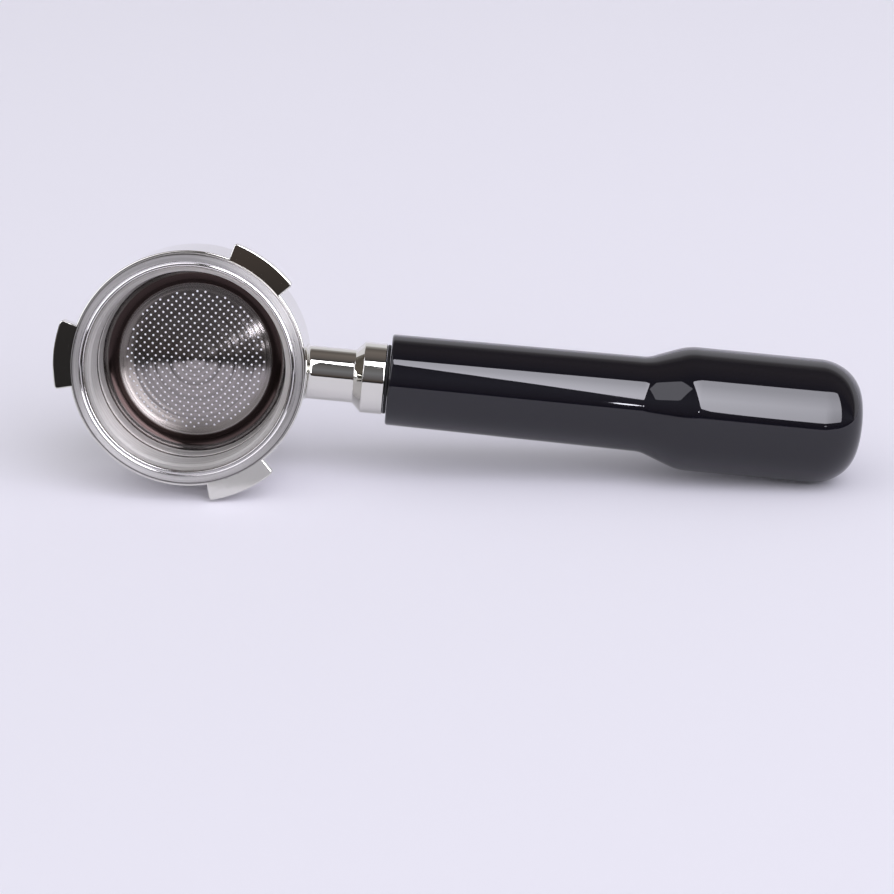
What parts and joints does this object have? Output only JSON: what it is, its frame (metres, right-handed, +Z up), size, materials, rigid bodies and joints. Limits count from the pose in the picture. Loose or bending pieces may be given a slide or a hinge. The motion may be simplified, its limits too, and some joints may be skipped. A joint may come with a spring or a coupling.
{
  "type": "bottomless portafilter",
  "caption": "Bottomless espresso portafilter: chromed lugged ring with neck, perforated steel filter basket held by a wire spring, and a flared gloss black grip.",
  "frame": {"origin": "on the surface that the part lies on, below the middle of its bounding box", "axes": "+Z up from the surface, +X along the handle towards its end, -Y the way the basket's mouth faces"},
  "size_m": [0.2174, 0.0424, 0.0682],
  "materials": {
    "chromed_brass": "polished chrome plate",
    "chromed_neck": "turned and chrome plated",
    "zinc_plated_steel": "zinc plated",
    "black_washer": "matt",
    "brass": "as turned",
    "gloss_black_plastic": "polished moulding",
    "stainless_sheet": "satin drawn sheet",
    "spring_steel": "drawn wire"
  },
  "bodies": {
    "holder": {"holder_ring": "chromed_brass", "holder_neck": "chromed_neck", "handle_stud": "zinc_plated_steel", "handle_washer": "black_washer", "handle_insert": "brass", "handle_grip": "gloss_black_plastic"},
    "spring": {"basket_spring": "spring_steel"},
    "basket": {"filter_basket": "stainless_sheet"}
  },
  "joints": [
    {"name": "basket_turn", "type": "hinge", "parent": "holder", "child": "spring", "pos_m": [-0.07306, -0.01598, 0.03565], "axis": [0.0154, -0.9851, 0.1715], "continuous": true},
    {"name": "basket_lift", "type": "slide", "parent": "spring", "child": "basket", "axis": [0.0154, -0.9851, 0.1715], "range_m": [0, 0.035]}
  ]
}
